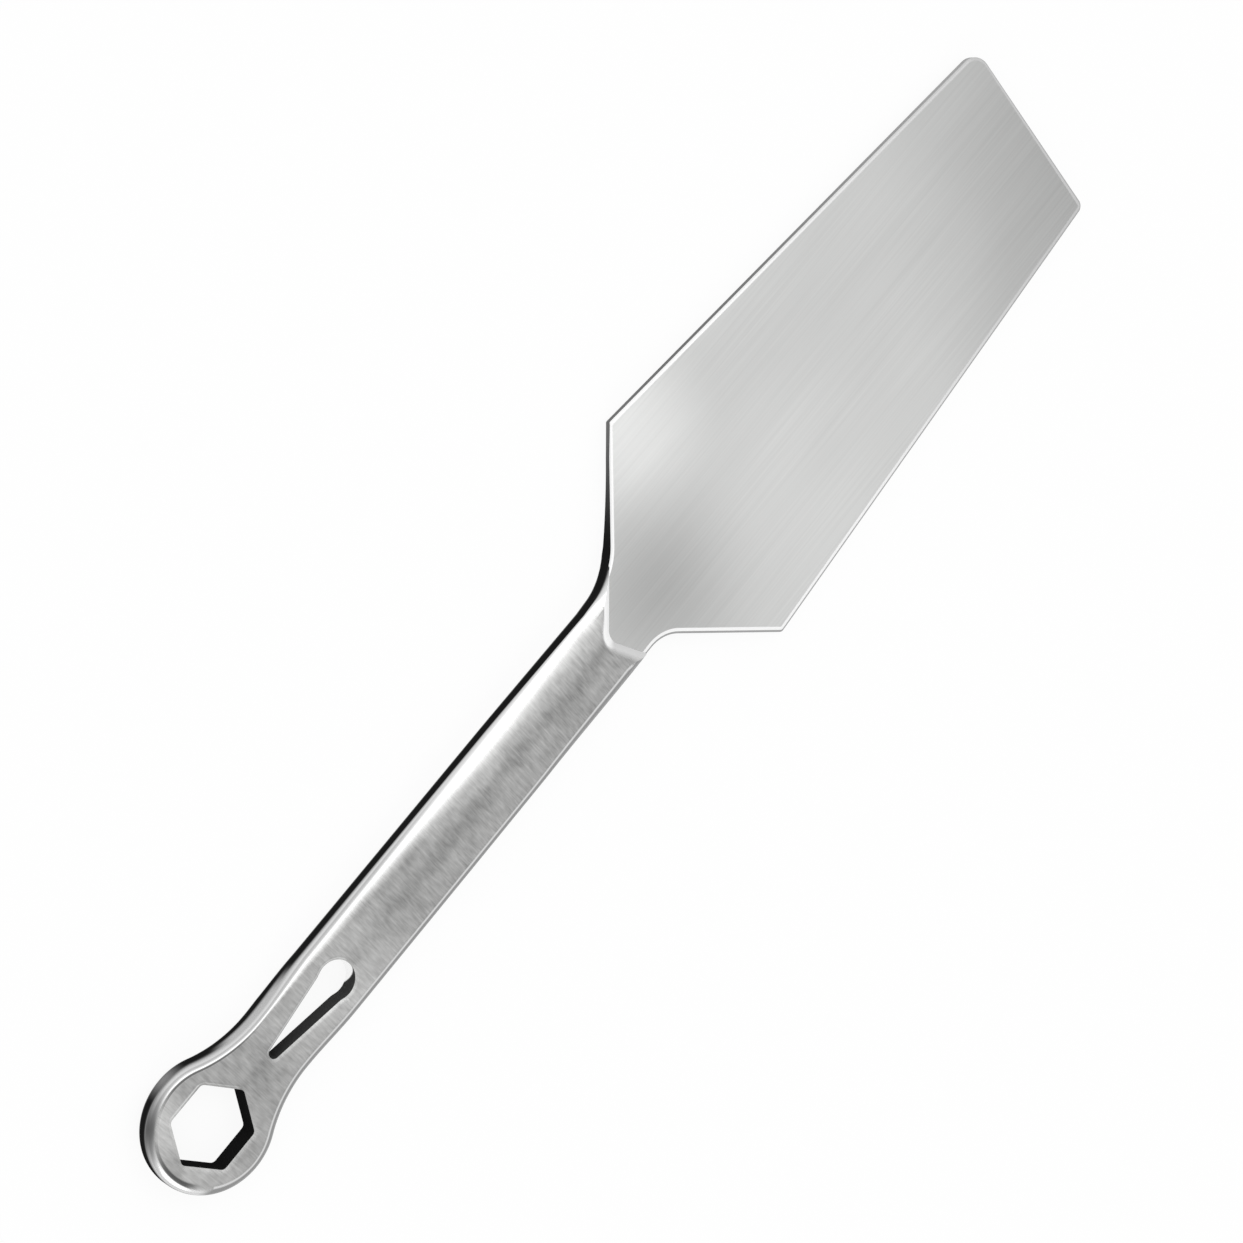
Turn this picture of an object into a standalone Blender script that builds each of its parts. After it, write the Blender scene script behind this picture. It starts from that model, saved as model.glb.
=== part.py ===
"""Metal spudger: a flat steel handle with a hexagon ring, and a wide thin blade seated in its nose.

The tool lies flat with its underside on z = 0. It points along +X, and it is centred on the origin.
Outlines are drawn from the centre of the hexagon, and every object is then moved by HEXAGON_X.
"""
import math

import bmesh
import bpy
from mathutils import Vector

MM = 0.001

# Handle
OVERALL_LENGTH = 148.0 * MM
HANDLE_WIDTH = 8.8 * MM
HANDLE_THICKNESS = 3.0 * MM
HANDLE_EDGE_RADIUS = 1.0 * MM
RING_DIAMETER = 13.7 * MM
HEXAGON_ACROSS_FLATS = 8.0 * MM
FLARE_RADIUS = 14.0 * MM
WAIST_WIDTH = 8.2 * MM
WAIST_LENGTH = 7.5 * MM
RIM_CHAMFER = 0.25 * MM

# Keyhole slot in the handle
EYE_DIAMETER = 4.1 * MM
EYE_DISTANCE = 18.2 * MM
SLOT_LENGTH = 9.6 * MM
SLOT_NARROW_WIDTH = 1.2 * MM
SLOT_WIDE_WIDTH = 3.5 * MM

# Blade
BLADE_LENGTH = 62.0 * MM
BLADE_SHOULDER_WIDTH = 32.4 * MM
BLADE_TIP_WIDTH = 23.5 * MM
BLADE_THICKNESS = 0.8 * MM
BLADE_STEP = 1.0 * MM
SHOULDER_ANGLE = math.radians(47.5)
SHOULDER_CORNER_RADIUS = 0.5 * MM
TIP_CORNER_RADIUS = 1.6 * MM
NECK_RADIUS = 7.5 * MM
HOLLOW_RADIUS = 30.0 * MM
HOLLOW_DISTANCE = 0.7 * MM

# Seat of the blade in the nose of the handle
NECK_LENGTH = 4.4 * MM
SEAT_TIP_RADIUS = 2.0 * MM
SEAT_HALF_ANGLE = math.radians(57.0)
LIP_RUN = 1.2 * MM
TANG_LENGTH = 14.0 * MM
TANG_WIDTH = 4.4 * MM
TANG_THICKNESS = 0.9 * MM
SEAM_GAP = 0.3 * MM

# Fineness of the round stretches
RING_STEPS = 40
ARC_STEPS = 10
EDGE_SEGMENTS = 3
SMOOTH_ANGLE = math.radians(35.0)
BEVEL_ANGLE = math.radians(60.0)

# Places that follow from the sizes, measured from the centre of the hexagon
RING_RADIUS = RING_DIAMETER / 2
HANDLE_HALF = HANDLE_WIDTH / 2
WAIST_HALF = WAIST_WIDTH / 2
SHOULDER_HALF = BLADE_SHOULDER_WIDTH / 2
TIP_HALF = BLADE_TIP_WIDTH / 2
HEXAGON_X = RING_RADIUS - OVERALL_LENGTH / 2
TIP_X = OVERALL_LENGTH - RING_RADIUS
SHOULDER_X = TIP_X - BLADE_LENGTH
NECK_X = SHOULDER_X - (SHOULDER_HALF - HANDLE_HALF) / math.tan(SHOULDER_ANGLE)
SEAT_X = NECK_X - NECK_LENGTH
BLADE_TOP = HANDLE_THICKNESS - BLADE_STEP
BLADE_UNDERSIDE = BLADE_TOP - BLADE_THICKNESS
MARGIN = HANDLE_THICKNESS
REACH = BLADE_SHOULDER_WIDTH


def arc(centre, radius, start, end, steps):
    """Points along an arc from one angle to another."""
    points = []
    for step in range(steps + 1):
        angle = start + (end - start) * step / steps
        points.append((centre[0] + radius * math.cos(angle), centre[1] + radius * math.sin(angle)))
    return points


def rounded(corners, steps):
    """A closed outline through corners given as (x, y, radius)."""
    points = []
    for index, (x, y, radius) in enumerate(corners):
        here = Vector((x, y))
        if radius == 0:
            points.append((x, y))
            continue
        back = (Vector(corners[index - 1][:2]) - here).normalized()
        ahead = (Vector(corners[(index + 1) % len(corners)][:2]) - here).normalized()
        half = back.angle(ahead) / 2
        centre = here + (back + ahead).normalized() * (radius / math.sin(half))
        first = here + back * (radius / math.tan(half)) - centre
        last = here + ahead * (radius / math.tan(half)) - centre
        start = math.atan2(first.y, first.x)
        turn = math.remainder(math.atan2(last.y, last.x) - start, math.tau)
        points += arc(centre, radius, start, start + turn, steps)
    return points


def handle_outline():
    """Ring, flares, waist and straight sides, running on to the neck."""
    flare_y = WAIST_HALF + FLARE_RADIUS
    flare_x = math.sqrt((RING_RADIUS + FLARE_RADIUS) ** 2 - flare_y ** 2)
    meeting = math.atan2(flare_y, flare_x)
    ring = arc((0, 0), RING_RADIUS, meeting, math.tau - meeting, RING_STEPS)
    upper = arc((flare_x, flare_y), FLARE_RADIUS, math.pi + meeting, 1.5 * math.pi, ARC_STEPS)[1:]
    for step in range(1, ARC_STEPS + 1):
        share = step / ARC_STEPS
        rise = (HANDLE_HALF - WAIST_HALF) * (1 - math.cos(math.pi * share)) / 2
        upper.append((flare_x + WAIST_LENGTH * share, WAIST_HALF + rise))
    upper.append((NECK_X, HANDLE_HALF))
    lower = [(x, -y) for x, y in upper]
    return ring + lower + upper[::-1]


def hexagon_outline(grow):
    """Hexagon with two corners on the tool's axis."""
    radius = (HEXAGON_ACROSS_FLATS / 2 + grow) / math.cos(math.pi / 6)
    return arc((0, 0), radius, 0, math.tau, 6)[:-1]


def slot_outline(grow):
    """Keyhole: a round eye towards the blade and a slot that narrows towards the ring."""
    eye = EYE_DIAMETER / 2 + grow
    narrow = SLOT_NARROW_WIDTH / 2 + grow
    wide = SLOT_WIDE_WIDTH / 2 + grow
    narrow_x = EYE_DISTANCE - SLOT_LENGTH + SLOT_NARROW_WIDTH / 2
    slope = (wide - narrow) / (EYE_DISTANCE - narrow_x)
    square = 1 + slope ** 2
    root = math.sqrt((slope * wide) ** 2 - square * (wide ** 2 - eye ** 2))
    meet = -(slope * wide + root) / square
    meeting = math.atan2(wide + slope * meet, meet)
    round_end = arc((EYE_DISTANCE, 0), eye, -meeting, meeting, 2 * ARC_STEPS)
    narrow_end = arc((narrow_x, 0), narrow, math.pi / 2, 1.5 * math.pi, ARC_STEPS)
    return round_end + narrow_end


def seat_edge(offset):
    """Rounded V where handle and blade meet, from -Y to +Y, moved towards the blade by offset."""
    radius = SEAT_TIP_RADIUS - offset
    centre_x = SEAT_X + SEAT_TIP_RADIUS
    nose = arc((centre_x, 0), radius, 1.5 * math.pi - SEAT_HALF_ANGLE, math.pi / 2 + SEAT_HALF_ANGLE, ARC_STEPS)
    flank_x, flank_y = nose[-1]
    end_x = flank_x + (REACH - flank_y) / math.tan(SEAT_HALF_ANGLE)
    return [(end_x, -REACH)] + nose + [(end_x, REACH)]


def level(outline, z):
    """A flat outline as points at one height."""
    return [Vector((x, y, z)) for x, y in outline]


def solid(name, loops):
    """A closed solid through loops with equal numbers of points."""
    shape = bmesh.new()
    rows = [[shape.verts.new(point) for point in loop] for loop in loops]
    count = len(rows[0])
    for low, high in zip(rows, rows[1:]):
        for index in range(count):
            after = (index + 1) % count
            shape.faces.new((low[index], low[after], high[after], high[index]))
    shape.faces.new(rows[0][::-1])
    shape.faces.new(rows[-1])
    bmesh.ops.recalc_face_normals(shape, faces=shape.faces)
    mesh = bpy.data.meshes.new(name)
    shape.to_mesh(mesh)
    shape.free()
    mesh.shade_smooth()
    mesh.set_sharp_from_angle(angle=SMOOTH_ANGLE)
    item = bpy.data.objects.new(name, mesh)
    item.location.x = HEXAGON_X
    bpy.context.collection.objects.link(item)
    return item


def block(name, low, high):
    """A box between two corners."""
    outline = [(low[0], low[1]), (high[0], low[1]), (high[0], high[1]), (low[0], high[1])]
    return solid(name, [level(outline, low[2]), level(outline, high[2])])


def combine(target, tool, operation):
    """Cut the target with a tool object, or join the two, with a modifier."""
    tool.hide_render = True
    tool.display_type = 'WIRE'
    modifier = target.modifiers.new(tool.name, 'BOOLEAN')
    modifier.operation = operation
    modifier.solver = 'EXACT'
    modifier.object = tool


def through_hole(name, outline):
    """Cutter for a hole through the handle, flared at both faces to chamfer the rims."""
    wide = outline(RIM_CHAMFER + MARGIN)
    true_size = outline(0)
    return solid(name, [
        level(wide, -MARGIN),
        level(true_size, RIM_CHAMFER),
        level(true_size, HANDLE_THICKNESS - RIM_CHAMFER),
        level(wide, HANDLE_THICKNESS + MARGIN),
    ])


def seat_cutter():
    """What the blade takes out of the nose of the handle, with a sloping lip above the blade."""
    far_x = TIP_X + REACH
    slope = LIP_RUN / BLADE_STEP
    loops = []
    for z in (-MARGIN, BLADE_TOP, HANDLE_THICKNESS + MARGIN):
        offset = -slope * max(0, z - BLADE_TOP)
        outline = seat_edge(offset) + [(far_x, REACH), (far_x, -REACH)]
        loops.append(level(outline, z))
    return solid("seat_cutter", loops)


def root_cutter():
    """What the nose of the handle takes out of the root of the blade."""
    outline = seat_edge(SEAM_GAP)[::-1] + [(-REACH, -REACH), (-REACH, REACH)]
    return solid("root_cutter", [level(outline, -MARGIN), level(outline, HANDLE_THICKNESS + MARGIN)])


def hollow_cutter():
    """The round hollow ground under the root of the blade, and the space under its flat."""
    start_x = NECK_X + HOLLOW_DISTANCE
    end_x = start_x + math.sqrt(HOLLOW_RADIUS ** 2 - (HOLLOW_RADIUS - BLADE_UNDERSIDE) ** 2)
    centre = (end_x, BLADE_UNDERSIDE - HOLLOW_RADIUS)
    spread = math.acos((HOLLOW_RADIUS - BLADE_UNDERSIDE - MARGIN) / HOLLOW_RADIUS)
    profile = arc(centre, HOLLOW_RADIUS, math.pi / 2 + spread, math.pi / 2, 2 * ARC_STEPS)
    far_x = TIP_X + REACH
    profile += [(far_x, BLADE_UNDERSIDE), (far_x, -MARGIN)]
    return solid("hollow_cutter", [
        [Vector((x, -REACH, z)) for x, z in profile],
        [Vector((x, REACH, z)) for x, z in profile],
    ])


def tang(name, gap, reach):
    """Flat tongue of the blade inside the handle, or the room for it, up to reach past the seat."""
    low_z = (HANDLE_THICKNESS - TANG_THICKNESS) / 2 - gap
    low = (SEAT_X - TANG_LENGTH - gap, -TANG_WIDTH / 2 - gap, low_z)
    high = (SEAT_X + reach, TANG_WIDTH / 2 + gap, HANDLE_THICKNESS - low_z)
    return block(name, low, high)


def steel(name, colour, roughness):
    """Bare stainless steel."""
    material = bpy.data.materials.new(name)
    material.use_nodes = True
    shader = material.node_tree.nodes["Principled BSDF"]
    shader.inputs["Base Color"].default_value = (*colour, 1.0)
    shader.inputs["Roughness"].default_value = roughness
    shader.inputs["Metallic"].default_value = 1.0
    return material


def make_handle():
    """Ring, shank and nose in one piece of bar."""
    outline = handle_outline()
    handle = solid("handle", [level(outline, 0), level(outline, HANDLE_THICKNESS)])
    handle.data.materials.append(steel("handle_steel", (0.42, 0.42, 0.41), 0.34))
    edge = handle.modifiers.new("rounded_edges", 'BEVEL')
    edge.width = HANDLE_EDGE_RADIUS
    edge.segments = EDGE_SEGMENTS
    edge.limit_method = 'ANGLE'
    edge.angle_limit = BEVEL_ANGLE
    edge.use_clamp_overlap = False
    combine(handle, through_hole("hexagon_cutter", hexagon_outline), 'DIFFERENCE')
    combine(handle, through_hole("slot_cutter", slot_outline), 'DIFFERENCE')
    combine(handle, seat_cutter(), 'DIFFERENCE')
    combine(handle, tang("tang_room", SEAM_GAP, REACH), 'DIFFERENCE')


def make_blade():
    """Trapezoid blade with ground hollow, shoulders, neck and tang."""
    corners = [
        (SEAT_X - MARGIN, -HANDLE_HALF, 0),
        (NECK_X, -HANDLE_HALF, NECK_RADIUS),
        (SHOULDER_X, -SHOULDER_HALF, SHOULDER_CORNER_RADIUS),
        (TIP_X, -TIP_HALF, TIP_CORNER_RADIUS),
    ]
    corners += [(x, -y, radius) for x, y, radius in corners[::-1]]
    outline = rounded(corners, ARC_STEPS)
    blade = solid("blade", [level(outline, 0), level(outline, BLADE_TOP)])
    blade.data.materials.append(steel("blade_steel", (0.60, 0.61, 0.60), 0.28))
    combine(blade, root_cutter(), 'DIFFERENCE')
    combine(blade, hollow_cutter(), 'DIFFERENCE')
    combine(blade, tang("tang", 0, SEAT_TIP_RADIUS + NECK_RADIUS / 2), 'UNION')


for old in list(bpy.data.objects):
    bpy.data.objects.remove(old, do_unlink=True)
make_handle()
make_blade()
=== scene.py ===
"""Dresses the spudger: rounded handle, ground blade, brushed steel, pale floor, soft light and camera."""
import math

import bmesh
import bpy
import numpy as np
from mathutils import Matrix, Vector


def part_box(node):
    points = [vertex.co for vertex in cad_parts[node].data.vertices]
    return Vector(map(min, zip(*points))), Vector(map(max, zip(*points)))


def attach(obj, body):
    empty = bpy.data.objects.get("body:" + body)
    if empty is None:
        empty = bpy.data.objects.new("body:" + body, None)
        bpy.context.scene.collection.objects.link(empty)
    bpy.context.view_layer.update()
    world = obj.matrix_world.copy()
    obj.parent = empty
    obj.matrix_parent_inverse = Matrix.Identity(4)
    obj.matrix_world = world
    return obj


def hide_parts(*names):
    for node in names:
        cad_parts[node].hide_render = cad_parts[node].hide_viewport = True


MM = 0.001

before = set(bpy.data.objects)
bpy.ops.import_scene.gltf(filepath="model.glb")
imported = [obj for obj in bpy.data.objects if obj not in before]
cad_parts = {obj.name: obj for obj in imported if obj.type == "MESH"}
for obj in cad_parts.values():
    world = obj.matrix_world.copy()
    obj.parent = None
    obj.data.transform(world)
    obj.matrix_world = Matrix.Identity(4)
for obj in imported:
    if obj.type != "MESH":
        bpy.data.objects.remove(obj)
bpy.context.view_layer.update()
handle_low, handle_high = (Vector(corner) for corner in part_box("handle"))
blade_high = Vector(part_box("blade")[1])

# Sizes read from the frame
THICKNESS = handle_high.z
RING_RADIUS = handle_high.y
HEXAGON_X = handle_low.x + RING_RADIUS
TIP_X = blade_high.x
SHOULDER_HALF = blade_high.y
BLADE_TOP = blade_high.z

# Handle
HANDLE_HALF = 4.4 * MM
WAIST_HALF = 4.1 * MM
WAIST_LENGTH = 7.5 * MM
FLARE_RADIUS = 14.0 * MM
HEXAGON_HALF = 4.0 * MM
HEXAGON_CORNER_RADIUS = 0.6 * MM
HEXAGON_RIM = (0.55 * MM, 0.14 * MM)
HEXAGON_LOWER_RIM = (0.35 * MM, 0.35 * MM)

# Keyhole slot
EYE_RADIUS = 2.1 * MM
EYE_X = HEXAGON_X + 18.5 * MM
SLOT_NARROW_HALF = 0.6 * MM
SLOT_NARROW_X = HEXAGON_X + 9.2 * MM
SLOT_WIDE_HALF = 2.0 * MM
SLOT_FILLET = 3.2 * MM
SLOT_TURN = math.radians(-1.2)
SLOT_RIM = (0.45 * MM, 0.12 * MM)
SLOT_LOWER_RIM = (0.5 * MM, 0.85 * MM)

# Blade
SHOULDER_X = TIP_X - 62.0 * MM
TIP_HALF = 11.7 * MM
TIP_SHIFT = -0.35 * MM
BLADE_THICKNESS = 0.8 * MM
SHOULDER_ANGLE = math.radians(47.5)
SHOULDER_CORNER_RADIUS = 0.65 * MM
TIP_RADIUS_LEFT = 2.3 * MM
TIP_RADIUS_RIGHT = 0.9 * MM
NECK_RADIUS_LEFT = 7.5 * MM
NECK_RADIUS_RIGHT = 4.4 * MM
NECK_SPREAD = 0.3 * MM
SPREAD_X = HEXAGON_X + 48.0 * MM
NECK_X = SHOULDER_X - (SHOULDER_HALF - HANDLE_HALF) / math.tan(SHOULDER_ANGLE)
NECK_RIGHT_X = NECK_X + NECK_SPREAD / math.tan(SHOULDER_ANGLE)
HOLLOW_RADIUS = 30.0 * MM
HOLLOW_X = NECK_X + 0.7 * MM
BEVEL_LEFT = (0.36 * MM, 0.14 * MM)
BEVEL_RIGHT = (0.6 * MM, 0.20 * MM)
BEVEL_BREAK = (0.4, 0.33)
UNDER_FADE = 3.0 * MM
UNDER_LEAST = 0.1 * MM

# Seat of the blade
NOSE_X = NECK_X - 4.8 * MM
NOSE_Y = -0.1 * MM
NOSE_RADIUS = 1.6 * MM
NOSE_ANGLE_LOWER = math.radians(64.0)
NOSE_ANGLE_UPPER = math.radians(46.0)
LIP_RUN = 1.8 * MM
LIP_OVERSHOOT = 1.003
SEAM = 0.004 * MM

# Rounded edges of the handle, from the ring to the neck: places, width and height on top, and radius below
SECTION_X = [HEXAGON_X + place * MM for place in (-6, -4.8, 0, 12, 18, 36, 48)] + [NOSE_X, NECK_X]
LEFT_WIDTHS = [size * MM for size in (1.1, 1.2, 1.0, 0.9, 1.25, 2.3, 2.5, 2.4, 1.6)]
LEFT_HEIGHTS = [size * MM for size in (1.0, 1.0, 1.0, 1.4, 1.0, 0.95, 0.95, 0.45, 1.3)]
RIGHT_WIDTHS = [size * MM for size in (1.5, 1.16, 1.0, 1.0, 1.0, 1.0, 1.0, 1.5, 1.8)]
RIGHT_HEIGHTS = [size * MM for size in (0.7, 0.7, 0.65, 0.6, 0.6, 0.55, 0.55, 1.2, 1.6)]
UNDER_RADII = [size * MM for size in (1.25, 1.25, 1.25, 0.8, 1.3, 1.25, 1.2, 1.5, 0.5)]

# Camera, floor and light
CAMERA_AIM = Vector((-1.0, -0.1, 1.5)) * MM
CAMERA_DISTANCE = 288.1 * MM
CAMERA_AZIMUTH = math.radians(121.8)
CAMERA_ELEVATION = math.radians(56.03)
CAMERA_ROLL = math.radians(102.23)
CAMERA_LENS = 80.15
SENSOR_WIDTH = 36.0
CLIP_START = 0.01
FLOOR_SIZE = 8.0
FLOOR_PAINT = 0.95
FLOOR_GLOW_SHARE = 0.9
BRIGHT_SIDE = Vector((0.1, 0.55, 0.83)).normalized()
WORLD_STRENGTH = 0.62
WORLD_SLOPE = 0.38

# Lamps are (place, size, energy)
OVERHEAD_LAMP = ((0.2, 0.13, 0.66), 0.65, 0.8)
RING_LAMP = ((-0.52, -0.34, 0.32), 0.35, 0.45)

# Fineness and tool room
FINE = 24
EDGE_STEPS = 12
HEXAGON_CORNER_STEPS = 4
MARGIN = THICKNESS
REACH = 2 * SHOULDER_HALF
HANDLE_SHARP = math.radians(30.0)
BLADE_SHARP = math.radians(10.0)


def arc(centre, radius, start, end, steps=FINE):
    """Points along an arc from one angle to another."""
    points = []
    for step in range(steps + 1):
        angle = start + (end - start) * step / steps
        points.append(Vector((centre[0] + radius * math.cos(angle), centre[1] + radius * math.sin(angle))))
    return points


def rounded(corners, steps=FINE):
    """An outline through corners given as (x, y, radius)."""
    points = []
    for index, (x, y, radius) in enumerate(corners):
        here = Vector((x, y))
        if radius == 0:
            points.append(here)
            continue
        back = (Vector(corners[index - 1][:2]) - here).normalized()
        ahead = (Vector(corners[(index + 1) % len(corners)][:2]) - here).normalized()
        half = back.angle(ahead) / 2
        centre = here + (back + ahead).normalized() * (radius / math.sin(half))
        first = here + back * (radius / math.tan(half)) - centre
        last = here + ahead * (radius / math.tan(half)) - centre
        start = math.atan2(first.y, first.x)
        turn = math.remainder(math.atan2(last.y, last.x) - start, math.tau)
        points += arc(centre, radius, start, start + turn, steps)
    return points


def handle_outline():
    """Ring, flares, waist, straight sides and the round inner corners of the neck."""
    flare_y = WAIST_HALF + FLARE_RADIUS
    flare_x = math.sqrt((RING_RADIUS + FLARE_RADIUS) ** 2 - flare_y ** 2)
    meeting = math.atan2(flare_y, flare_x)
    ring = arc((HEXAGON_X, 0), RING_RADIUS, meeting, math.tau - meeting, 4 * FINE)
    flare_x += HEXAGON_X
    flare = arc((flare_x, flare_y), FLARE_RADIUS, math.pi + meeting, 1.5 * math.pi)[1:]
    for step in range(1, FINE + 1):
        share = step / FINE
        rise = (HANDLE_HALF - WAIST_HALF) * (1 - math.cos(math.pi * share)) / 2
        flare.append(Vector((flare_x + WAIST_LENGTH * share, WAIST_HALF + rise)))
    left = flare + side_and_neck(flare[-1].x, NECK_X, NECK_RADIUS_LEFT, 0)
    right = flare + side_and_neck(flare[-1].x, NECK_RIGHT_X, NECK_RADIUS_RIGHT, NECK_SPREAD)
    return ring + [Vector((point.x, -point.y)) for point in right] + left[::-1]


def side_and_neck(start_x, neck_x, radius, spread):
    """Side of the handle, which spreads towards the neck, and the round inner corner there, on the left."""
    end_x = neck_x - radius * math.tan(SHOULDER_ANGLE / 2)
    points = []
    for step in range(1, FINE):
        x = start_x + (end_x - start_x) * step / FINE
        share = max((x - SPREAD_X) / (end_x - SPREAD_X), 0)
        points.append(Vector((x, HANDLE_HALF + spread * share ** 2 * (3 - 2 * share))))
    centre = (end_x, HANDLE_HALF + spread + radius)
    points += arc(centre, radius, -math.pi / 2, SHOULDER_ANGLE - math.pi / 2)
    points.append(points[-1] + radius * Vector((math.cos(SHOULDER_ANGLE), math.sin(SHOULDER_ANGLE))))
    return points


def hexagon_outline(grow):
    """Hexagon with two corners on the tool's axis and slightly rounded corners."""
    radius = (HEXAGON_HALF + grow) / math.cos(math.pi / 6)
    corners = arc((HEXAGON_X, 0), radius, 0, math.tau, 6)[:-1]
    corner_radius = HEXAGON_CORNER_RADIUS + grow
    return rounded([(point.x, point.y, corner_radius) for point in corners], HEXAGON_CORNER_STEPS)


def slot_outline(grow):
    """Keyhole: a round eye towards the blade, eased into a slot that narrows towards the ring."""
    eye = EYE_RADIUS + grow
    narrow = SLOT_NARROW_HALF + grow
    wide = SLOT_WIDE_HALF + grow
    fillet = SLOT_FILLET - grow
    slope = (wide - narrow) / (EYE_X - SLOT_NARROW_X)
    stretch = math.hypot(1, slope)
    height = wide + fillet * stretch
    root = math.sqrt((slope * height) ** 2 - stretch ** 2 * (height ** 2 - (eye + fillet) ** 2))
    offset = -(slope * height + root) / stretch ** 2
    centre = Vector((EYE_X + offset, height + slope * offset))
    meeting = math.atan2(centre.y, offset)
    upper = arc(centre, fillet, meeting - math.pi, math.atan(slope) - math.pi / 2, FINE // 2)[1:]
    lower = [Vector((point.x, -point.y)) for point in upper[::-1]]
    round_end = arc((EYE_X, 0), eye, -meeting, meeting, 2 * FINE)
    narrow_end = arc((SLOT_NARROW_X, 0), narrow, math.pi / 2, 1.5 * math.pi)
    pivot = Vector((SLOT_NARROW_X, 0))
    turn = Matrix.Rotation(SLOT_TURN, 2)
    return [pivot + turn @ (point - pivot) for point in round_end + upper + narrow_end + lower]


def inward(outline):
    """Unit vectors into a closed outline that runs anticlockwise."""
    count = len(outline)
    sides = []
    for index in range(count):
        here = outline[index]
        along = (outline[(index + 1) % count] - here).normalized() + (here - outline[index - 1]).normalized()
        sides.append(Vector((-along.y, along.x)).normalized())
    return sides


def seat_edge(offset):
    """Rounded V where handle and blade meet, from -Y to +Y, moved towards the blade by offset."""
    lower = Vector((math.cos(NOSE_ANGLE_LOWER), -math.sin(NOSE_ANGLE_LOWER)))
    upper = Vector((math.cos(NOSE_ANGLE_UPPER), math.sin(NOSE_ANGLE_UPPER)))
    middle = (lower + upper).normalized()
    nose = Vector((NOSE_X, NOSE_Y)) + middle * offset / math.sin(lower.angle(upper) / 2)
    first = nose + lower * REACH
    last = nose + upper * REACH
    return rounded([(*first, 0), (*nose, NOSE_RADIUS - offset), (*last, 0)])


def level(outline, z):
    """A flat outline as points at one height."""
    return [Vector((point.x, point.y, z)) for point in outline]


def solid(name, loops):
    """A closed solid through loops with equal numbers of points."""
    shape = bmesh.new()
    rows = [[shape.verts.new(point) for point in loop] for loop in loops]
    count = len(rows[0])
    for low, high in zip(rows, rows[1:]):
        for index in range(count):
            after = (index + 1) % count
            shape.faces.new((low[index], low[after], high[after], high[index]))
    shape.faces.new(rows[0][::-1])
    shape.faces.new(rows[-1])
    bmesh.ops.recalc_face_normals(shape, faces=shape.faces)
    mesh = bpy.data.meshes.new(name)
    shape.to_mesh(mesh)
    shape.free()
    item = bpy.data.objects.new(name, mesh)
    bpy.context.collection.objects.link(item)
    return item


def slab(name, outline, top, under, profile):
    """A plate whose lower edge is rounded by under at each point, and whose top edge follows a profile."""
    sides = inward(outline)
    loops = []
    for index in range(EDGE_STEPS + 1):
        angle = math.pi / 2 * index / EDGE_STEPS
        insets = under * (1 - math.sin(angle))
        rises = under * (1 - math.cos(angle))
        loops.append([
            (point + side * inset).to_3d() + Vector((0, 0, rise))
            for point, side, inset, rise in zip(outline, sides, insets, rises)
        ])
    for insets, drops in profile:
        loops.append([
            (point + side * inset).to_3d() + Vector((0, 0, top - drop))
            for point, side, inset, drop in zip(outline, sides, insets, drops)
        ])
    return solid(name, loops)


def carve(item, cutters, sharp_angle):
    """Cut the item with each cutter, keep the result as its mesh, and remove the cutters."""
    for cutter in cutters:
        modifier = item.modifiers.new(cutter.name, 'BOOLEAN')
        modifier.operation = 'DIFFERENCE'
        modifier.solver = 'EXACT'
        modifier.object = cutter
    graph = bpy.context.evaluated_depsgraph_get()
    carved = bpy.data.meshes.new_from_object(item.evaluated_get(graph))
    item.modifiers.clear()
    old = item.data
    item.data = carved
    bpy.data.meshes.remove(old)
    for cutter in cutters:
        bpy.data.objects.remove(cutter, do_unlink=True)
    carved.shade_smooth()
    carved.set_sharp_from_angle(angle=sharp_angle)
    weights = item.modifiers.new("flat_faces_lead", 'WEIGHTED_NORMAL')
    weights.keep_sharp = True


def through_hole(name, outline, rim, lower_rim):
    """Cutter for a hole through the handle, flared at both faces to bevel rims given as (width, depth)."""
    width, depth = rim
    lower_width, lower_depth = lower_rim
    return solid(name, [
        level(outline(2 * lower_width), -lower_depth),
        level(outline(0), lower_depth),
        level(outline(0), THICKNESS - depth),
        level(outline(2 * width), THICKNESS + depth),
    ])


def seat_cutter():
    """What the blade takes out of the nose of the handle, with a lip that rounds over to the top."""
    far_x = TIP_X + REACH
    step = (THICKNESS - BLADE_TOP) * LIP_OVERSHOOT
    heights = [(-MARGIN, 0)]
    for index in range(EDGE_STEPS + 1):
        share = index / EDGE_STEPS
        heights.append((BLADE_TOP + step * (1 - (1 - share) ** 2), -LIP_RUN * share))
    heights.append((THICKNESS + MARGIN, -LIP_RUN - MARGIN))
    loops = []
    for z, offset in heights:
        outline = seat_edge(offset) + [Vector((far_x, REACH)), Vector((far_x, -REACH))]
        loops.append(level(outline, z))
    return solid("seat_cutter", loops)


def root_cutter():
    """What the nose of the handle takes out of the root of the blade."""
    back_x = handle_low.x - REACH
    outline = seat_edge(SEAM)[::-1] + [Vector((back_x, -REACH)), Vector((back_x, REACH))]
    return solid("root_cutter", [level(outline, -MARGIN), level(outline, THICKNESS + MARGIN)])


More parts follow.
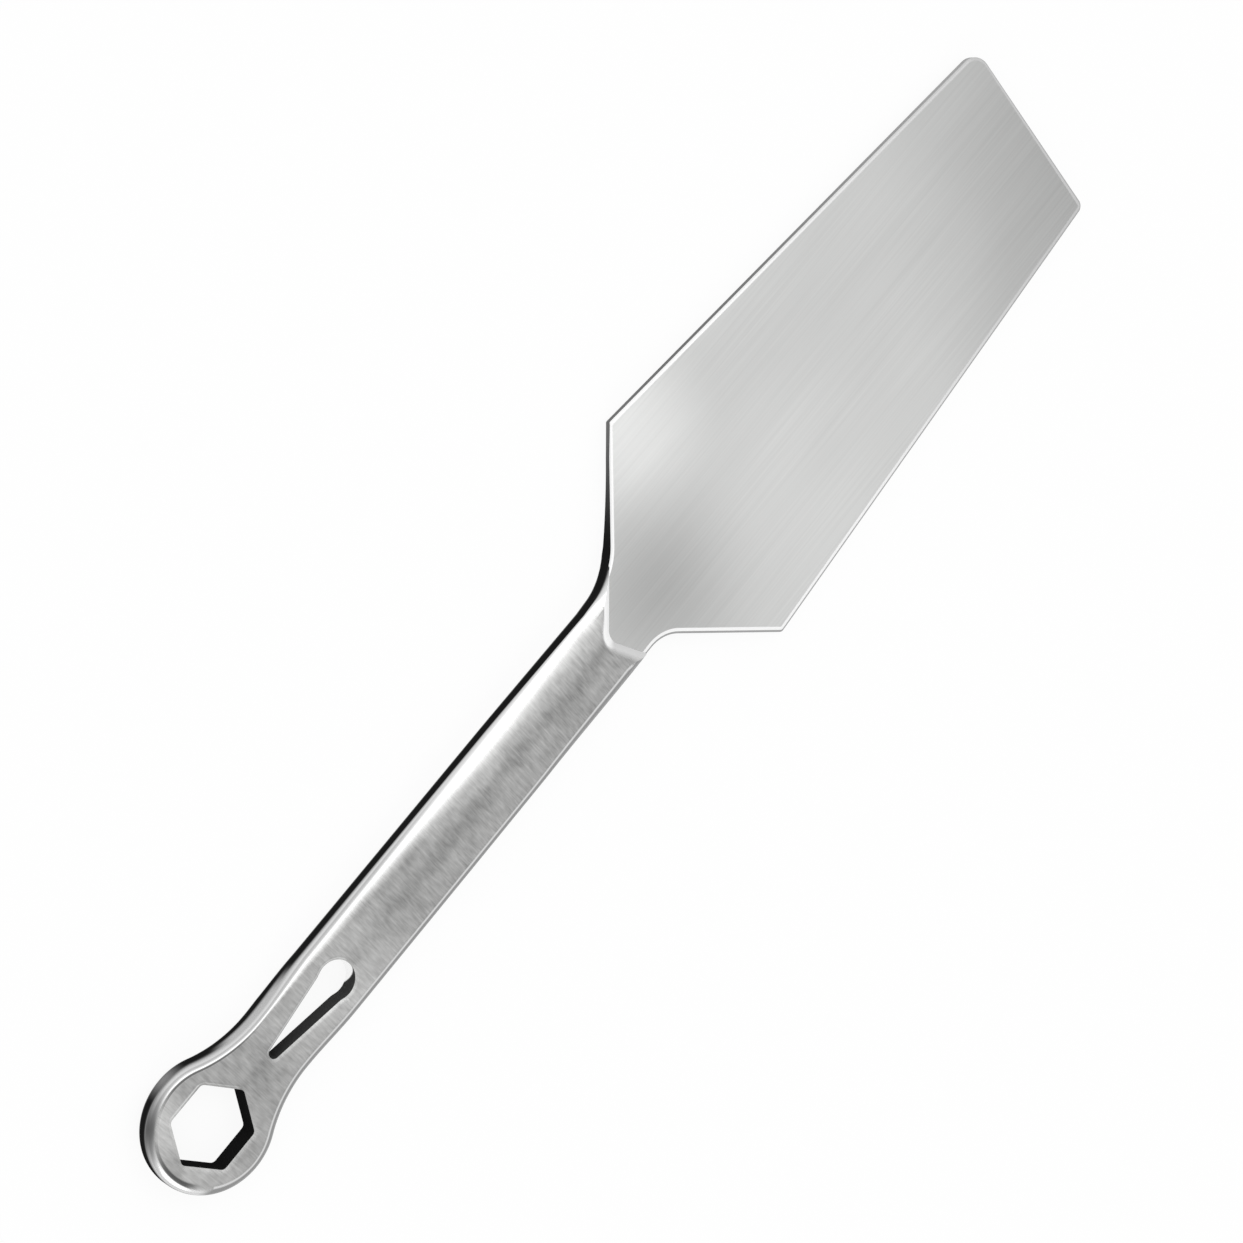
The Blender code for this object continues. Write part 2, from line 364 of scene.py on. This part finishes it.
def hollow_cutter():
    """The round hollow ground under the root of the blade, and the space under its flat."""
    underside = BLADE_TOP - BLADE_THICKNESS
    end_x = HOLLOW_X + math.sqrt(HOLLOW_RADIUS ** 2 - (HOLLOW_RADIUS - underside) ** 2)
    spread = math.acos((HOLLOW_RADIUS - underside - MARGIN) / HOLLOW_RADIUS)
    centre = (end_x, underside - HOLLOW_RADIUS)
    profile = arc(centre, HOLLOW_RADIUS, math.pi / 2 + spread, math.pi / 2, 2 * FINE)
    far_x = TIP_X + REACH
    profile += [Vector((far_x, underside)), Vector((far_x, -MARGIN))]
    return solid("hollow_cutter", [
        [Vector((point.x, side, point.y)) for point in profile] for side in (-REACH, REACH)
    ])


def left_share(outline):
    """For each point 1 on the left side, 0 on the right side, and between across the ends."""
    return np.clip([0.5 + point.y / (2 * HANDLE_HALF) for point in outline], 0, 1)


def make_handle():
    """Handle with edges that round over more widely along the left of the shank."""
    outline = handle_outline()
    places = [point.x for point in outline]
    share = left_share(outline)
    widths = share * np.interp(places, SECTION_X, LEFT_WIDTHS)
    widths += (1 - share) * np.interp(places, SECTION_X, RIGHT_WIDTHS)
    heights = share * np.interp(places, SECTION_X, LEFT_HEIGHTS)
    heights += (1 - share) * np.interp(places, SECTION_X, RIGHT_HEIGHTS)
    profile = []
    for index in range(EDGE_STEPS + 1):
        angle = math.pi / 2 * index / EDGE_STEPS
        profile.append((widths * (1 - math.cos(angle)), heights * (1 - math.sin(angle))))
    handle = slab("handle_finish", outline, THICKNESS, np.interp(places, SECTION_X, UNDER_RADII), profile)
    carve(handle, [
        through_hole("hexagon_cutter", hexagon_outline, HEXAGON_RIM, HEXAGON_LOWER_RIM),
        through_hole("slot_cutter", slot_outline, SLOT_RIM, SLOT_LOWER_RIM),
        seat_cutter(),
    ], HANDLE_SHARP)
    return handle


def make_blade():
    """Blade with ground hollow, shoulders, neck and a two-step bevel round its top face."""
    corners = [
        (NOSE_X - MARGIN, -HANDLE_HALF - NECK_SPREAD, 0),
        (NECK_RIGHT_X, -HANDLE_HALF - NECK_SPREAD, NECK_RADIUS_RIGHT),
        (SHOULDER_X, -SHOULDER_HALF, SHOULDER_CORNER_RADIUS),
        (TIP_X, TIP_SHIFT - TIP_HALF, TIP_RADIUS_RIGHT),
        (TIP_X, TIP_SHIFT + TIP_HALF, TIP_RADIUS_LEFT),
        (SHOULDER_X, SHOULDER_HALF, SHOULDER_CORNER_RADIUS),
        (NECK_X, HANDLE_HALF, NECK_RADIUS_LEFT),
        (NOSE_X - MARGIN, HANDLE_HALF, 0),
    ]
    outline = rounded(corners)
    under = np.interp([point.x for point in outline], [NOSE_X, NECK_X, NECK_X + UNDER_FADE],
                      [UNDER_RADII[-2], UNDER_RADII[-1], UNDER_LEAST])
    share = left_share(outline)
    width, drop = (share * left + (1 - share) * right for left, right in zip(BEVEL_LEFT, BEVEL_RIGHT))
    break_width, break_drop = BEVEL_BREAK
    blade = slab("blade_finish", outline, BLADE_TOP, under, [
        (0 * width, drop),
        (break_width * width, break_drop * drop),
        (width, 0 * drop),
    ])
    carve(blade, [root_cutter(), hollow_cutter()], BLADE_SHARP)
    return blade


class Nodes:
    """Short calls for building a node tree."""

    def __init__(self, tree):
        self.tree = tree
        self.tree.nodes.clear()

    def put(self, socket, value):
        """Set an input to a value, or link it to another node's output."""
        if isinstance(value, bpy.types.NodeSocket):
            self.tree.links.new(value, socket)
        else:
            socket.default_value = value

    def add(self, kind, inputs=None, **settings):
        """A node with settings, and inputs that are values or other nodes' outputs."""
        node = self.tree.nodes.new(kind)
        for name, value in settings.items():
            setattr(node, name, value)
        for name, value in (inputs or {}).items():
            self.put(node.inputs[name], value)
        return node

    def math(self, operation, first, second=0.0, third=0.0):
        """One arithmetic step."""
        return self.add('ShaderNodeMath', {0: first, 1: second, 2: third}, operation=operation).outputs[0]

    def smooth(self, value, low, high):
        """0 at low, 1 at high, with a smooth step between."""
        limits = {"Value": value, "From Min": low, "From Max": high}
        return self.add('ShaderNodeMapRange', limits, interpolation_type='SMOOTHSTEP').outputs["Result"]

    def noise(self, place, scale, detail):
        """Noise stretched by a scale in marks per metre along X, Y and Z."""
        mapping = self.add('ShaderNodeMapping', {"Vector": place, "Scale": scale})
        settings = {"Vector": mapping.outputs["Vector"], "Scale": 1.0, "Detail": detail}
        return self.add('ShaderNodeTexNoise', settings).outputs["Fac"]

    def rest(self, value):
        """What is left of 1."""
        return self.math('SUBTRACT', 1.0, value)

    def distance(self, place, centre):
        """How far a place is from a centre."""
        return self.add('ShaderNodeVectorMath', {0: place, 1: centre}, operation='DISTANCE').outputs["Value"]

    def spot(self, place, centre, radius):
        """1 at the centre of a round spot and 0 past its radius."""
        return self.smooth(self.distance(place, centre), radius, 0.0)

    def ramp(self, value, stops):
        """Greys set at stops and straight between them."""
        node = self.add('ShaderNodeValToRGB', {0: value})
        elements = node.color_ramp.elements
        elements.remove(elements[1])
        elements[0].position, first = stops[0]
        elements[0].color = grey(first)
        for position, tone in stops[1:]:
            elements.new(position).color = grey(tone)
        return node.outputs["Color"]

    def mix(self, factor, first, second):
        """Blend of two colours."""
        node = self.add('ShaderNodeMix', data_type='RGBA')
        for socket, value in zip((node.inputs[0], node.inputs[6], node.inputs[7]), (factor, first, second)):
            self.put(socket, value)
        return node.outputs[2]


def grey(value):
    """A grey as a colour with alpha."""
    return (value, value, value, 1.0)


# Both steels: a lean is the upright part of the normal and a facing is another part.
# A soft step is (from, to), and a band is two of them, up and down again.
WALL_LEAN = (0.40, 0.25)
AWAY_TURN = -0.5
AWAY_LIMITS = (-0.05, -0.28)
LEAST_LEAN = 0.02
# Greys by lean: walls near black as a painted dark reflection, rounded edges light as a painted highlight
EDGE_STOPS = [(0.05, 0.012), (0.20, 0.06), (0.34, 0.33), (0.56, 0.68), (0.72, 0.74), (0.88, 0.93)]
# Walls turned to the right are painted a little lighter
RIGHT_WALL_FACING = (-0.5, -0.8)
RIGHT_WALL_TONE = 0.15
# Grey of the painted shade and of the painted dark lines on the edges
DARK_TONE = 0.1
ROUGHNESS = 0.25
GRAIN_ROUGHNESS = 0.14
EDGE_ROUGHNESS_SHARE = 0.6
BUMP_STRENGTH = 0.2
BUMP_DEPTH = 0.02 * MM

# Marks are (marks per metre along X, Y and Z, detail, strength), each spot is (centre, radius, strength) of
# painted sheen, or painted shade where strength is negative
HANDLE_TINT = (1.0, 1.0, 0.99, 1.0)
HANDLE_TONE = 0.44
HANDLE_MARKS = [
    ((2800, 700, 700), 3.0, 0.34),
    ((7000, 350, 350), 2.0, 0.22),
    ((330, 420, 420), 2.0, 0.24),
]
# Painted sheen on the ring and along the right of the shank
HANDLE_SHEEN_SPOTS = [
    ((HEXAGON_X - 3.2 * MM, 4.4 * MM, THICKNESS), 5.0 * MM, 0.26),
    ((HEXAGON_X - 5.0 * MM, -2.5 * MM, THICKNESS), 7.0 * MM, 0.12),
    ((HEXAGON_X + 18.0 * MM, -3.5 * MM, THICKNESS), 14.0 * MM, 0.13),
]
# Painted shade along the middle of the flats and painted sheen on their left by the neck
CENTRE_SHADE = 0.07
CENTRE_HALF = 1.6 * MM
LEFT_LIGHT = 0.17
LEFT_LIGHT_X = (HEXAGON_X + 32 * MM, HEXAGON_X + 48 * MM)
LEFT_LIGHT_Y = (0.2 * MM, 2.6 * MM)

# Painted shade, dark reflections and highlights on the outer edges of the handle
DIP_SHARE = 0.40
DIP_X = (HEXAGON_X + 48 * MM, HEXAGON_X + 28 * MM)
DIP_Y = (2.0 * MM, 3.5 * MM)
DIP_LEAN = (0.64, 0.74, 0.83, 0.91)
FAR_LINE_LEAN = (0.45, 0.55, 0.955, 0.98)
FAR_LINE_SHARE = 0.6
FAR_SHARE = 0.15
RING_SHADE = (HEXAGON_X - 4.2 * MM, 5.4 * MM, 2.4 * MM)
RING_SHADE_RADIUS = 5.2 * MM
RING_SHADE_TONE = 0.12
RING_GLEAM = (HEXAGON_X + 0.4 * MM, RING_RADIUS, THICKNESS / 2)
RING_GLEAM_RADIUS = 2.6 * MM
RING_GLEAM_LEAN = (0.5, 0.3)
RING_GLEAM_TONE = 0.24
FLARE_START = (HEXAGON_X + 5 * MM, HEXAGON_X + 8 * MM)
FLARE_END = (HEXAGON_X + 17 * MM, HEXAGON_X + 13 * MM)
FLARE_Y = (3.2 * MM, 3.8 * MM)
FLARE_Z = (1.35 * MM, 1.95 * MM)
FLARE_FACING = (0.1, 0.4)
FLARE_LEAN = (0.55, 0.4)
FLARE_TONE = 0.5

# Painted highlight on the lip at the nose, and painted highlights and reflections on the rims and walls of
# the holes
LIP_X = (NOSE_X - 3.6 * MM, NOSE_X - 2.8 * MM)
LIP_LEAN = (0.45, 0.55)
LIP_FACING = (0.08, 0.2)
LIP_TONE = 1.0
LOWER_ARM_FACING = (-0.15, 0.15)
LOWER_ARM_TONE = 0.68
HEXAGON_PLACE = (HEXAGON_X, 0, THICKNESS)
HEXAGON_REACH = (5.5 * MM, 5.3 * MM)
SLOT_REACH = (3.1 * MM, 2.9 * MM)
SLOT_START = (HEXAGON_X + 6.5 * MM, HEXAGON_X + 7.5 * MM)
SLOT_END = (EYE_X + 5 * MM, EYE_X + 4 * MM)
RIM_LEAN = (0.5, 0.7)
# Painted highlight along the upper part of the hole rims on their left side
LIGHT_RIM_X = (HEXAGON_X - 3.5 * MM, HEXAGON_X - 2 * MM)
LIGHT_RIM_Y = (0.3 * MM, 0.9 * MM)
LIGHT_RIM_Z = (THICKNESS - 0.10 * MM, THICKNESS - 0.07 * MM)
# Painted highlights on the hole rims, painted dark reflection on the slot walls, and a painted reflection of
# the floor on the eye's wall
HEXAGON_RIM_TONE = 0.88
SLOT_RIM_TONE = 0.76
SLOT_WALL_TONE = 0.06
EYE_SLOPE = 330.0
EYE_REACH = (3.2 * MM, 2.6 * MM)
EYE_LIT = (-0.01, -0.11)
EYE_LIT_TONE = 0.95

# Where the flats of the handle give way to its edges
NEAR_NECK_X = (HEXAGON_X + 20 * MM, HEXAGON_X + 46 * MM)
HANDLE_FLAT_FROM = 0.90
NECK_FLAT_GAIN = 0.066
LIP_FLAT_GAIN = -0.04
LOWER_ARM_FLAT_GAIN = -0.15
CRISP_FLAT_FROM = 0.988
HANDLE_FLAT_FULL = 0.9988
RIM_FLAT_LEAN = (0.995, 0.985)
# Band of painted shade just off the flats round the ring, except on its right
CREASE_SHADE_SHARE = 0.9
CREASE_SHADE_LEAN = (0.93, 0.955, 0.99, 0.9995)
CREASE_SHADE_X = (HEXAGON_X + 15 * MM, HEXAGON_X + 6 * MM)
CREASE_SHADE_Y = (-3.5 * MM, -1.5 * MM)
CREASE_SHADE_TONE = 0.08
HANDLE_EDGE_METAL = 0.45

# Looks of the blade
BLADE_TINT = (0.995, 1.0, 0.99, 1.0)
BLADE_TONE = 0.70
BLADE_MARKS = [
    ((50, 4500, 50), 3.0, 0.11),
    ((30, 1500, 30), 2.0, 0.05),
    ((60, 90, 60), 1.0, 0.08),
]
# Painted shade by the neck and at the tip, painted sheen by the left shoulder and along the right
BLADE_SHEEN_AND_SHADE_SPOTS = [
    ((NECK_X + 3 * MM, -1.5 * MM, BLADE_TOP), 15 * MM, -0.20),
    ((SHOULDER_X + 1 * MM, 15 * MM, BLADE_TOP), 13 * MM, 0.20),
    ((SHOULDER_X + 14 * MM, -15 * MM, BLADE_TOP), 34 * MM, 0.08),
    ((TIP_X + 2 * MM, -12 * MM, BLADE_TOP), 32 * MM, -0.18),
    ((TIP_X + 2 * MM, 12 * MM, BLADE_TOP), 28 * MM, -0.08),
]
# Painted dark line and highlight on the right bevel, highlights fading towards the tip, side walls painted
# dark grey
BEVEL_DARK_SHARE = 0.6
BEVEL_DARK_LEAN = (0.78, 0.82, 0.92, 0.95)
BEVEL_LIGHT_LEAN = (0.95, 0.97)
TO_TIP_X = (SHOULDER_X + 10 * MM, TIP_X)
TIP_FADE_SHARE = 0.7
TIP_FADE_LEAN = (0.5, 0.7)
TIP_FADE_TONE = 0.45
SIDE_X = (NECK_X + 2 * MM, SHOULDER_X + 2 * MM)
SIDE_TONE = 0.18
TIP_SIDE_TONE = 0.4
BLADE_FLAT_FROM = 0.975
BLADE_AWAY_GAIN = 0.012
BLADE_FLAT_FULL = 0.998
BLADE_EDGE_METAL = 0.2


class Steel(Nodes):
    """Ground steel: brush-marked flats, broken edges with painted highlights, side walls with painted dark
    reflections.
    """

    def __init__(self, name):
        self.material = bpy.data.materials.new(name)
        self.material.use_nodes = True
        super().__init__(self.material.node_tree)
        coordinates = self.add('ShaderNodeTexCoord')
        self.place = coordinates.outputs["Object"]
        spread = self.add('ShaderNodeSeparateXYZ', {0: self.place})
        self.x, self.y, self.z = (spread.outputs[axis] for axis in "XYZ")
        normal = self.add('ShaderNodeSeparateXYZ', {0: coordinates.outputs["Normal"]})
        self.normal_x, self.normal_y = normal.outputs["X"], normal.outputs["Y"]
        self.upright = self.math('ABSOLUTE', normal.outputs["Z"])
        self.wall = self.smooth(self.upright, *WALL_LEAN)
        level_part = self.math('SQRT', self.rest(self.product(self.upright, self.upright)))
        right = self.math('MULTIPLY_ADD', self.normal_x, AWAY_TURN, self.normal_y)
        right = self.math('DIVIDE', right, self.math('MAXIMUM', level_part, LEAST_LEAN))
        self.away = self.smooth(right, *AWAY_LIMITS)

    def tone(self, value, marks, shading_spots):
        """Tone of the flat faces, with brush marks and round patches of painted sheen and shade, and the
        finest of the marks.
        """
        grains = [self.noise(self.place, scale, detail) for scale, detail, strength in marks]
        for grain, (scale, detail, strength) in zip(grains, marks):
            value = self.math('MULTIPLY_ADD', self.math('SUBTRACT', grain, 0.5), strength, value)
        # Round patches of painted sheen, or of painted shade where the strength is negative
        for centre, radius, strength in shading_spots:
            value = self.math('MULTIPLY_ADD', self.spot(self.place, centre, radius), strength, value)
        return value, grains[0]

    def product(self, *values):
        """All the values multiplied."""
        result = values[0]
        for value in values[1:]:
            result = self.math('MULTIPLY', result, value)
        return result

    def band(self, rise_from, rise_to, fall_from, fall_to):
        """1 where the surface leans within a band, with soft limits."""
        return self.product(self.smooth(self.upright, rise_from, rise_to),
                            self.smooth(self.upright, fall_to, fall_from))

    def edges(self):
        """Painted highlights on edges and painted dark reflections on walls, by their lean, walls on the
        right a little lighter.
        """
        right_wall = self.product(self.wall, self.smooth(self.normal_y, *RIGHT_WALL_FACING))
        return self.mix(right_wall, self.ramp(self.upright, EDGE_STOPS), grey(RIGHT_WALL_TONE))

    def metalness(self, flat, share):
        """How metallic the surface is: fully on the flats, by a share on edges so their painted highlights
        show, not at all on walls.
        """
        return self.product(self.rest(self.wall), self.math('MULTIPLY_ADD', flat, 1.0 - share, share))

    def finish(self, colour, metal, flat, grain):
        """The shader, with roughness and bump from the grain."""
        flat_rough = self.math('MULTIPLY_ADD', grain, GRAIN_ROUGHNESS, ROUGHNESS)
        share = self.math('MULTIPLY_ADD', flat, 1.0 - EDGE_ROUGHNESS_SHARE, EDGE_ROUGHNESS_SHARE)
        bump = self.add('ShaderNodeBump', {
            "Height": grain,
            "Strength": BUMP_STRENGTH,
            "Distance": BUMP_DEPTH,
        })
        shader = self.add('ShaderNodeBsdfPrincipled', {
            "Base Color": colour,
            "Metallic": metal,
            "Roughness": self.product(flat_rough, share),
            "Normal": bump.outputs["Normal"],
            "Specular IOR Level": 0.0,
        })
        self.add('ShaderNodeOutputMaterial', {"Surface": shader.outputs["BSDF"]})
        return self.material


def handle_ground(steel):
    """Tone of the handle's flats, with painted shade along the middle and painted sheen on the left by the
    neck, and grain.
    """
    value, grain = steel.tone(HANDLE_TONE, HANDLE_MARKS, HANDLE_SHEEN_SPOTS)
    middle = steel.smooth(steel.math('ABSOLUTE', steel.y), CENTRE_HALF, 0.0)
    value = steel.math('MULTIPLY_ADD', middle, -CENTRE_SHADE, value)
    to_left = steel.product(steel.smooth(steel.x, *LEFT_LIGHT_X), steel.smooth(steel.y, *LEFT_LIGHT_Y))
    value = steel.math('MULTIPLY_ADD', to_left, LEFT_LIGHT, value)
    return steel.mix(value, grey(0.0), HANDLE_TINT), grain


def handle_edges(steel, ring_shade):
    """Painted shade and highlights on the handle's edges: a dip on the left, a dark line on the right, by
    the ring and the flare.
    """
    edge = steel.edges()
    # Painted dark band along the left edge, fading out towards the neck
    dip = steel.product(steel.smooth(steel.x, *DIP_X), DIP_SHARE,
                        steel.smooth(steel.y, *DIP_Y), steel.band(*DIP_LEAN))
    edge = steel.mix(dip, edge, grey(DARK_TONE))
    # Painted dark line and painted shade on the edges turned to the right
    far_line = steel.product(steel.away, steel.band(*FAR_LINE_LEAN))
    edge = steel.mix(steel.product(far_line, FAR_LINE_SHARE), edge, grey(DARK_TONE))
    edge = steel.mix(steel.product(steel.away, FAR_SHARE), edge, grey(DARK_TONE))
    # Painted shade on the left of the ring's edge
    edge = steel.mix(steel.product(ring_shade, steel.rest(steel.wall)), edge, grey(RING_SHADE_TONE))
    # Painted gleam on the left wall of the ring
    gleam = steel.product(steel.spot(steel.place, RING_GLEAM, RING_GLEAM_RADIUS),
                          steel.smooth(steel.upright, *RING_GLEAM_LEAN))
    edge = steel.mix(gleam, edge, grey(RING_GLEAM_TONE))
    # Painted light streak on the upper wall along the left flare
    flare = steel.product(steel.smooth(steel.x, *FLARE_START), steel.smooth(steel.x, *FLARE_END),
                          steel.smooth(steel.y, *FLARE_Y), steel.smooth(steel.normal_y, *FLARE_FACING))
    upper_wall = steel.product(steel.smooth(steel.z, *FLARE_Z), steel.smooth(steel.upright, *FLARE_LEAN))
    return steel.mix(steel.product(flare, upper_wall), edge, grey(FLARE_TONE))


def handle_steel():
    """Cross-brushed handle with a band of painted shade round the ring, and painted highlights on the hole
    rims and on the lip.
    """
    steel = Steel("handle_steel_and_painted_light")
    ground, grain = handle_ground(steel)
    ring_shade = steel.spot(steel.place, RING_SHADE, RING_SHADE_RADIUS)
    edge = handle_edges(steel, ring_shade)

    # Painted highlight on the lip, lighter on its left arm than on its lower arm
    lip = steel.product(steel.smooth(steel.x, *LIP_X), steel.smooth(steel.upright, *LIP_LEAN),
                        steel.smooth(steel.normal_x, *LIP_FACING))
    lower_arm = steel.smooth(steel.normal_y, *LOWER_ARM_FACING)
    edge = steel.mix(lip, edge, steel.mix(lower_arm, grey(LIP_TONE), grey(LOWER_ARM_TONE)))

    by_hexagon = steel.smooth(steel.distance(steel.place, HEXAGON_PLACE), *HEXAGON_REACH)
    by_slot = steel.product(steel.smooth(steel.math('ABSOLUTE', steel.y), *SLOT_REACH),
                            steel.smooth(steel.x, *SLOT_START), steel.smooth(steel.x, *SLOT_END))
    rim = steel.product(steel.math('MAXIMUM', by_hexagon, by_slot), steel.smooth(steel.upright, *RIM_LEAN))
    # Painted highlight on the upper part of the rims on their left side; elsewhere the rims take the flats'
    # tone
    light_rim = steel.product(steel.smooth(steel.y, *LIGHT_RIM_Y), steel.smooth(steel.x, *LIGHT_RIM_X),
                              steel.smooth(steel.z, *LIGHT_RIM_Z))
    rim_tone = steel.mix(by_slot, grey(HEXAGON_RIM_TONE), grey(SLOT_RIM_TONE))
    edge = steel.mix(rim, edge, steel.mix(light_rim, ground, rim_tone))
    # Painted dark reflection on the slot walls
    edge = steel.mix(steel.product(by_slot, steel.wall), edge, grey(SLOT_WALL_TONE))
    # Painted reflection of the pale floor on the lower part of the eye's wall that faces the ring
    turned = steel.math('MULTIPLY_ADD', steel.z, EYE_SLOPE, steel.normal_x)
    from_eye = steel.math('ABSOLUTE', steel.math('SUBTRACT', steel.x, EYE_X))
    lit = steel.product(steel.smooth(turned, *EYE_LIT), steel.wall, steel.smooth(from_eye, *EYE_REACH))
    edge = steel.mix(lit, edge, grey(EYE_LIT_TONE))

    crisp = steel.product(steel.away, steel.rest(steel.math('MAXIMUM', rim, lip)))
    near_neck = steel.smooth(steel.x, *NEAR_NECK_X)
    flat_from = steel.math('MULTIPLY_ADD', near_neck, NECK_FLAT_GAIN, HANDLE_FLAT_FROM)
    lip_gain = steel.math('MULTIPLY_ADD', lower_arm, LOWER_ARM_FLAT_GAIN, LIP_FLAT_GAIN)
    flat_from = steel.math('ADD', flat_from, steel.product(lip, lip_gain))
    flat_from = steel.math('MAXIMUM', flat_from, steel.product(crisp, CRISP_FLAT_FROM))
    off_rim = steel.rest(steel.product(rim, steel.smooth(steel.upright, *RIM_FLAT_LEAN)))
    flat = steel.product(steel.smooth(steel.upright, flat_from, HANDLE_FLAT_FULL), off_rim)
    # Band of painted shade where the edges leave the flats round the ring
    crease_shade = steel.product(steel.band(*CREASE_SHADE_LEAN), CREASE_SHADE_SHARE,
                           steel.smooth(steel.x, *CREASE_SHADE_X), steel.smooth(steel.y, *CREASE_SHADE_Y),
                           steel.rest(steel.math('MAXIMUM', rim, ring_shade)))
    colour = steel.mix(crease_shade, steel.mix(flat, edge, ground), grey(CREASE_SHADE_TONE))
    # The lip is made less metallic so that its painted highlight shows
    matt = steel.product(lip, steel.rest(flat))
    metal = steel.product(steel.metalness(flat, HANDLE_EDGE_METAL), steel.rest(matt))
    return steel.finish(colour, steel.math('MAXIMUM', lit, metal), flat, grain)


def blade_steel():
    """Lengthwise brushed blade with painted sheen and shade, and painted highlights on the bevels that fade
    towards the tip.
    """
    steel = Steel("blade_steel_and_painted_light")
    value, grain = steel.tone(BLADE_TONE, BLADE_MARKS, BLADE_SHEEN_AND_SHADE_SPOTS)
    ground = steel.mix(value, grey(0.0), BLADE_TINT)
    edge = steel.edges()
    # Painted dark line and painted highlight along the bevel on the right
    dark_line = steel.product(steel.away, BEVEL_DARK_SHARE, steel.band(*BEVEL_DARK_LEAN))
    edge = steel.mix(dark_line, edge, grey(DARK_TONE))
    light_line = steel.product(steel.away, steel.smooth(steel.upright, *BEVEL_LIGHT_LEAN))
    edge = steel.mix(light_line, edge, grey(1.0))
    # Painted highlights fade towards the tip
    to_tip = steel.smooth(steel.x, *TO_TIP_X)
    fade = steel.product(to_tip, TIP_FADE_SHARE, steel.smooth(steel.upright, *TIP_FADE_LEAN))
    edge = steel.mix(fade, edge, grey(TIP_FADE_TONE))
    # Side walls past the shoulders painted dark grey, lighter towards the tip
    side = steel.product(steel.wall, steel.smooth(steel.x, *SIDE_X))
    edge = steel.mix(side, edge, steel.mix(to_tip, grey(SIDE_TONE), grey(TIP_SIDE_TONE)))
    flat_from = steel.math('MULTIPLY_ADD', steel.away, BLADE_AWAY_GAIN, BLADE_FLAT_FROM)
    flat = steel.smooth(steel.upright, flat_from, BLADE_FLAT_FULL)
    colour = steel.mix(flat, edge, ground)
    return steel.finish(colour, steel.metalness(flat, BLADE_EDGE_METAL), flat, grain)


def make_floor():
    """Pale floor: white to the eye and in reflections, with a soft shadow of the tool."""
    mesh = bpy.data.meshes.new("floor")
    half = FLOOR_SIZE / 2
    corners = [(-half, -half, 0), (half, -half, 0), (half, half, 0), (-half, half, 0)]
    mesh.from_pydata(corners, [], [(0, 1, 2, 3)])
    floor = bpy.data.objects.new("floor", mesh)
    bpy.context.collection.objects.link(floor)
    material = bpy.data.materials.new("floor_white")
    material.use_nodes = True
    nodes = Nodes(material.node_tree)
    path = nodes.add('ShaderNodeLightPath')
    seen = nodes.math('MAXIMUM', path.outputs["Is Camera Ray"], path.outputs["Is Glossy Ray"])
    seen = nodes.math('MAXIMUM', seen, path.outputs["Is Transmission Ray"])
    paint = nodes.add('ShaderNodeBsdfDiffuse', {"Color": grey(FLOOR_PAINT)})
    glow = nodes.add('ShaderNodeEmission', {"Color": grey(1.0), "Strength": 1.0})
    blend = nodes.add('ShaderNodeMixShader', {
        0: nodes.math('MULTIPLY', seen, FLOOR_GLOW_SHARE),
        1: paint.outputs["BSDF"],
        2: glow.outputs["Emission"],
    })
    nodes.add('ShaderNodeOutputMaterial', {"Surface": blend.outputs["Shader"]})
    mesh.materials.append(material)


def add_lamp(name, place, size, energy):
    """A square soft lamp that looks at the tool."""
    lamp = bpy.data.lights.new(name, 'AREA')
    lamp.size = size
    lamp.energy = energy
    item = bpy.data.objects.new(name, lamp)
    item.location = place
    item.rotation_euler = (-item.location).to_track_quat('-Z', 'Y').to_euler()
    bpy.context.collection.objects.link(item)


def make_light():
    """Soft white surroundings, brighter above and to the left, and lamps overhead and towards the ring."""
    world = bpy.data.worlds.new("studio")
    world.use_nodes = True
    nodes = Nodes(world.node_tree)
    towards = nodes.add('ShaderNodeTexCoord').outputs["Generated"]
    facing = nodes.add('ShaderNodeVectorMath', {0: towards, 1: BRIGHT_SIDE}, operation='DOT_PRODUCT')
    strength = nodes.math('MULTIPLY_ADD', facing.outputs["Value"], WORLD_SLOPE, WORLD_STRENGTH)
    background = nodes.add('ShaderNodeBackground', {"Color": grey(1.0), "Strength": strength})
    nodes.add('ShaderNodeOutputWorld', {"Surface": background.outputs["Background"]})
    bpy.context.scene.world = world
    add_lamp("overhead_lamp", *OVERHEAD_LAMP)
    add_lamp("ring_lamp", *RING_LAMP)


def make_camera():
    """Camera at the photograph's viewing angle."""
    flat = math.cos(CAMERA_ELEVATION)
    back = Vector((
        flat * math.cos(CAMERA_AZIMUTH),
        flat * math.sin(CAMERA_AZIMUTH),
        math.sin(CAMERA_ELEVATION),
    ))
    camera = bpy.data.cameras.new("camera")
    camera.lens = CAMERA_LENS
    camera.sensor_width = SENSOR_WIDTH
    camera.clip_start = CLIP_START
    item = bpy.data.objects.new("camera", camera)
    turn = back.to_track_quat('Z', 'Y').to_matrix() @ Matrix.Rotation(CAMERA_ROLL, 3, 'Z')
    item.matrix_world = Matrix.Translation(CAMERA_AIM + back * CAMERA_DISTANCE) @ turn.to_4x4()
    bpy.context.collection.objects.link(item)
    bpy.context.scene.camera = item


def dress(item, node, material):
    """Put a finished mesh in the place of its CAD node."""
    item.data.materials.clear()
    item.data.materials.append(material)
    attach(item, "root")
    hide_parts(node)


dress(make_handle(), "handle", handle_steel())
dress(make_blade(), "blade", blade_steel())
make_floor()
make_light()
make_camera()
bpy.context.scene.view_settings.view_transform = 'Standard'
